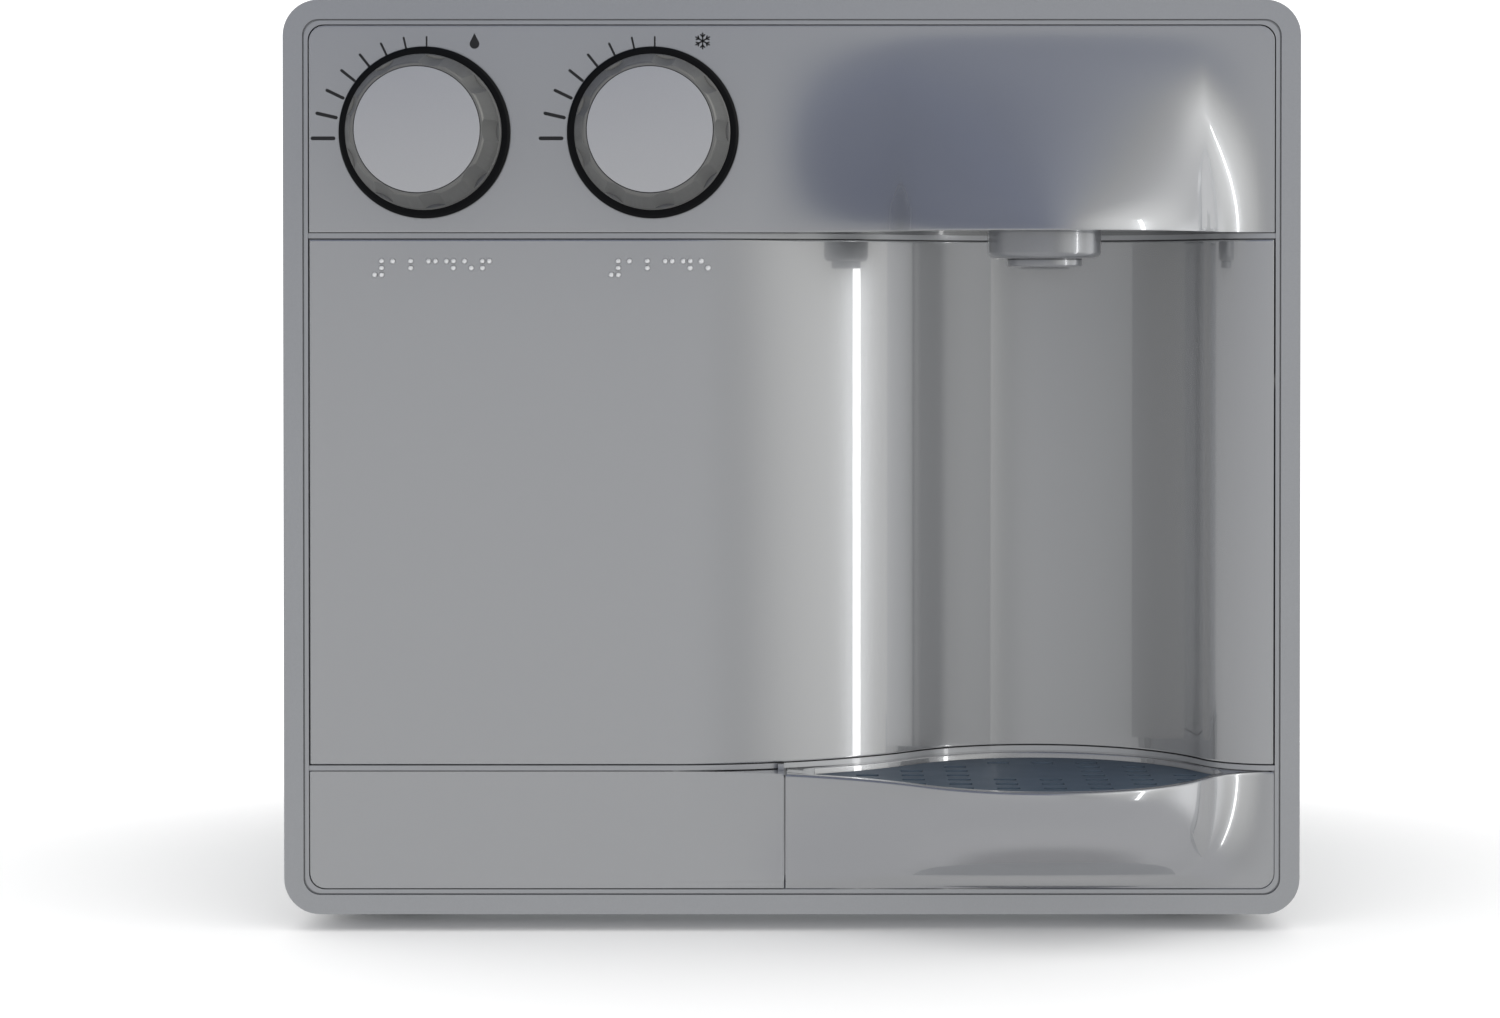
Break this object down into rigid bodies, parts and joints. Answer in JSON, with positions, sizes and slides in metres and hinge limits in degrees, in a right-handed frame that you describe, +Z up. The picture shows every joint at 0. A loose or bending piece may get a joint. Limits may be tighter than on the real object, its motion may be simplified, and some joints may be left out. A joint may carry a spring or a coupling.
{
  "type": "water purifier dispenser",
  "caption": "Countertop water purifier and cooler with flow knobs, a curved dispensing niche under a swelling hood with its spout, and a pull-out drip tray with a lift-out grille.",
  "frame": {"origin": "centre of the footprint on the floor, under the feet", "axes": "+X to the right seen from the front, +Y to the rear, +Z up; the front faces -Y"},
  "size_m": [0.34, 0.3934, 0.312],
  "materials": {
    "frame_abs": "moulded, painted silver grey",
    "panel_silver": "moulded, metallic silver paint under clear coat",
    "grille_slate": "moulded, satin slate",
    "spout_silver": "moulded, satin metallic paint",
    "ring_black": "moulded, gloss black",
    "knob_silver": "moulded, satin metallic paint",
    "cap_silver": "moulded, fine spun lacquer",
    "spindle_brass": "turned",
    "water_white": "moulded",
    "seal_rubber": "moulded",
    "zinc_steel": "zinc plated",
    "cabinet_paint": "powder coat, fine texture",
    "compressor_black": "black enamel",
    "pump_iron": "as cast",
    "black_plastic": "moulded, fine texture",
    "tube_copper": "drawn copper",
    "tank_steel": "deep drawn stainless",
    "foam_white": "expanded bead foam",
    "hose_clear": "extruded, milky"
  },
  "bodies": {
    "cabinet": {"front_frame": "frame_abs", "control_fascia": "panel_silver", "front_panel": "panel_silver", "lower_cover": "panel_silver", "spout_plate": "panel_silver", "spout_body": "spout_silver", "spout_outlet": "spout_silver", "natural_dial_ring": "ring_black", "cold_dial_ring": "ring_black", "natural_valve_body": "spindle_brass", "cold_valve_body": "spindle_brass", "valve_nuts": "spindle_brass", "spout_manifold": "water_white", "natural_valve_end": "water_white", "cold_valve_end": "water_white", "filter_head": "water_white", "inlet_fitting": "water_white", "thermostat_body": "water_white", "stem_seals": "seal_rubber", "rubber_feet": "seal_rubber", "rear_spacers": "seal_rubber", "compressor_grommets": "seal_rubber", "valve_bracket": "zinc_steel", "bracket_screws": "zinc_steel", "cabinet_screws": "zinc_steel", "compressor_bolts": "zinc_steel", "base_plate": "zinc_steel", "cabinet_wrap": "cabinet_paint", "rear_panel": "cabinet_paint", "compressor_lower_shell": "compressor_black", "compressor_upper_shell": "compressor_black", "condenser": "compressor_black", "compressor_pump": "pump_iron", "relay_cover": "black_plastic", "power_gland": "black_plastic", "filter_drier": "tube_copper", "discharge_line": "tube_copper", "suction_line": "tube_copper", "capillary_tube": "tube_copper", "evaporator_coil": "tube_copper", "cold_tank": "tank_steel", "tank_lid": "tank_steel", "tank_insulation": "foam_white", "insulation_cap": "foam_white", "inlet_hose": "hose_clear", "tank_feed_hose": "hose_clear", "cold_feed_hose": "hose_clear", "natural_feed_hose": "hose_clear", "natural_spout_hose": "hose_clear", "cold_spout_hose": "hose_clear"},
    "natural_knob": {"natural_knob_grip": "knob_silver", "natural_knob_cap": "cap_silver", "natural_spindle": "spindle_brass"},
    "cold_knob": {"cold_knob_grip": "knob_silver", "cold_knob_cap": "cap_silver", "cold_spindle": "spindle_brass"},
    "drip_tray": {"drip_tray": "panel_silver"},
    "drip_grille": {"drip_grille": "grille_slate"},
    "thermostat_knob": {"thermostat_knob": "black_plastic"},
    "filter_cartridge": {"filter_cartridge": "water_white"}
  },
  "joints": [
    {"name": "natural_knob_turn", "type": "hinge", "parent": "cabinet", "child": "natural_knob", "pos_m": [-0.1226, -0.1467, 0.2676], "axis": [0, -1, 0], "range_deg": [0, 90]},
    {"name": "cold_knob_turn", "type": "hinge", "parent": "cabinet", "child": "cold_knob", "pos_m": [-0.0464, -0.1467, 0.2676], "axis": [0, -1, 0], "range_deg": [0, 90]},
    {"name": "drip_tray_slide", "type": "slide", "parent": "cabinet", "child": "drip_tray", "axis": [0, -1, 0], "range_m": [0, 0.11]},
    {"name": "drip_grille_lift", "type": "slide", "parent": "drip_tray", "child": "drip_grille", "axis": [0, 0, 1], "range_m": [0, 0.03]},
    {"name": "thermostat_turn", "type": "hinge", "parent": "cabinet", "child": "thermostat_knob", "pos_m": [0.12, 0.1797, 0.262], "axis": [0, 1, 0], "range_deg": [0, 270]},
    {"name": "filter_twist", "type": "hinge", "parent": "cabinet", "child": "filter_cartridge", "pos_m": [-0.112, -0.0373, 0.1], "axis": [0, 0, 1], "range_deg": [0, 90]}
  ]
}
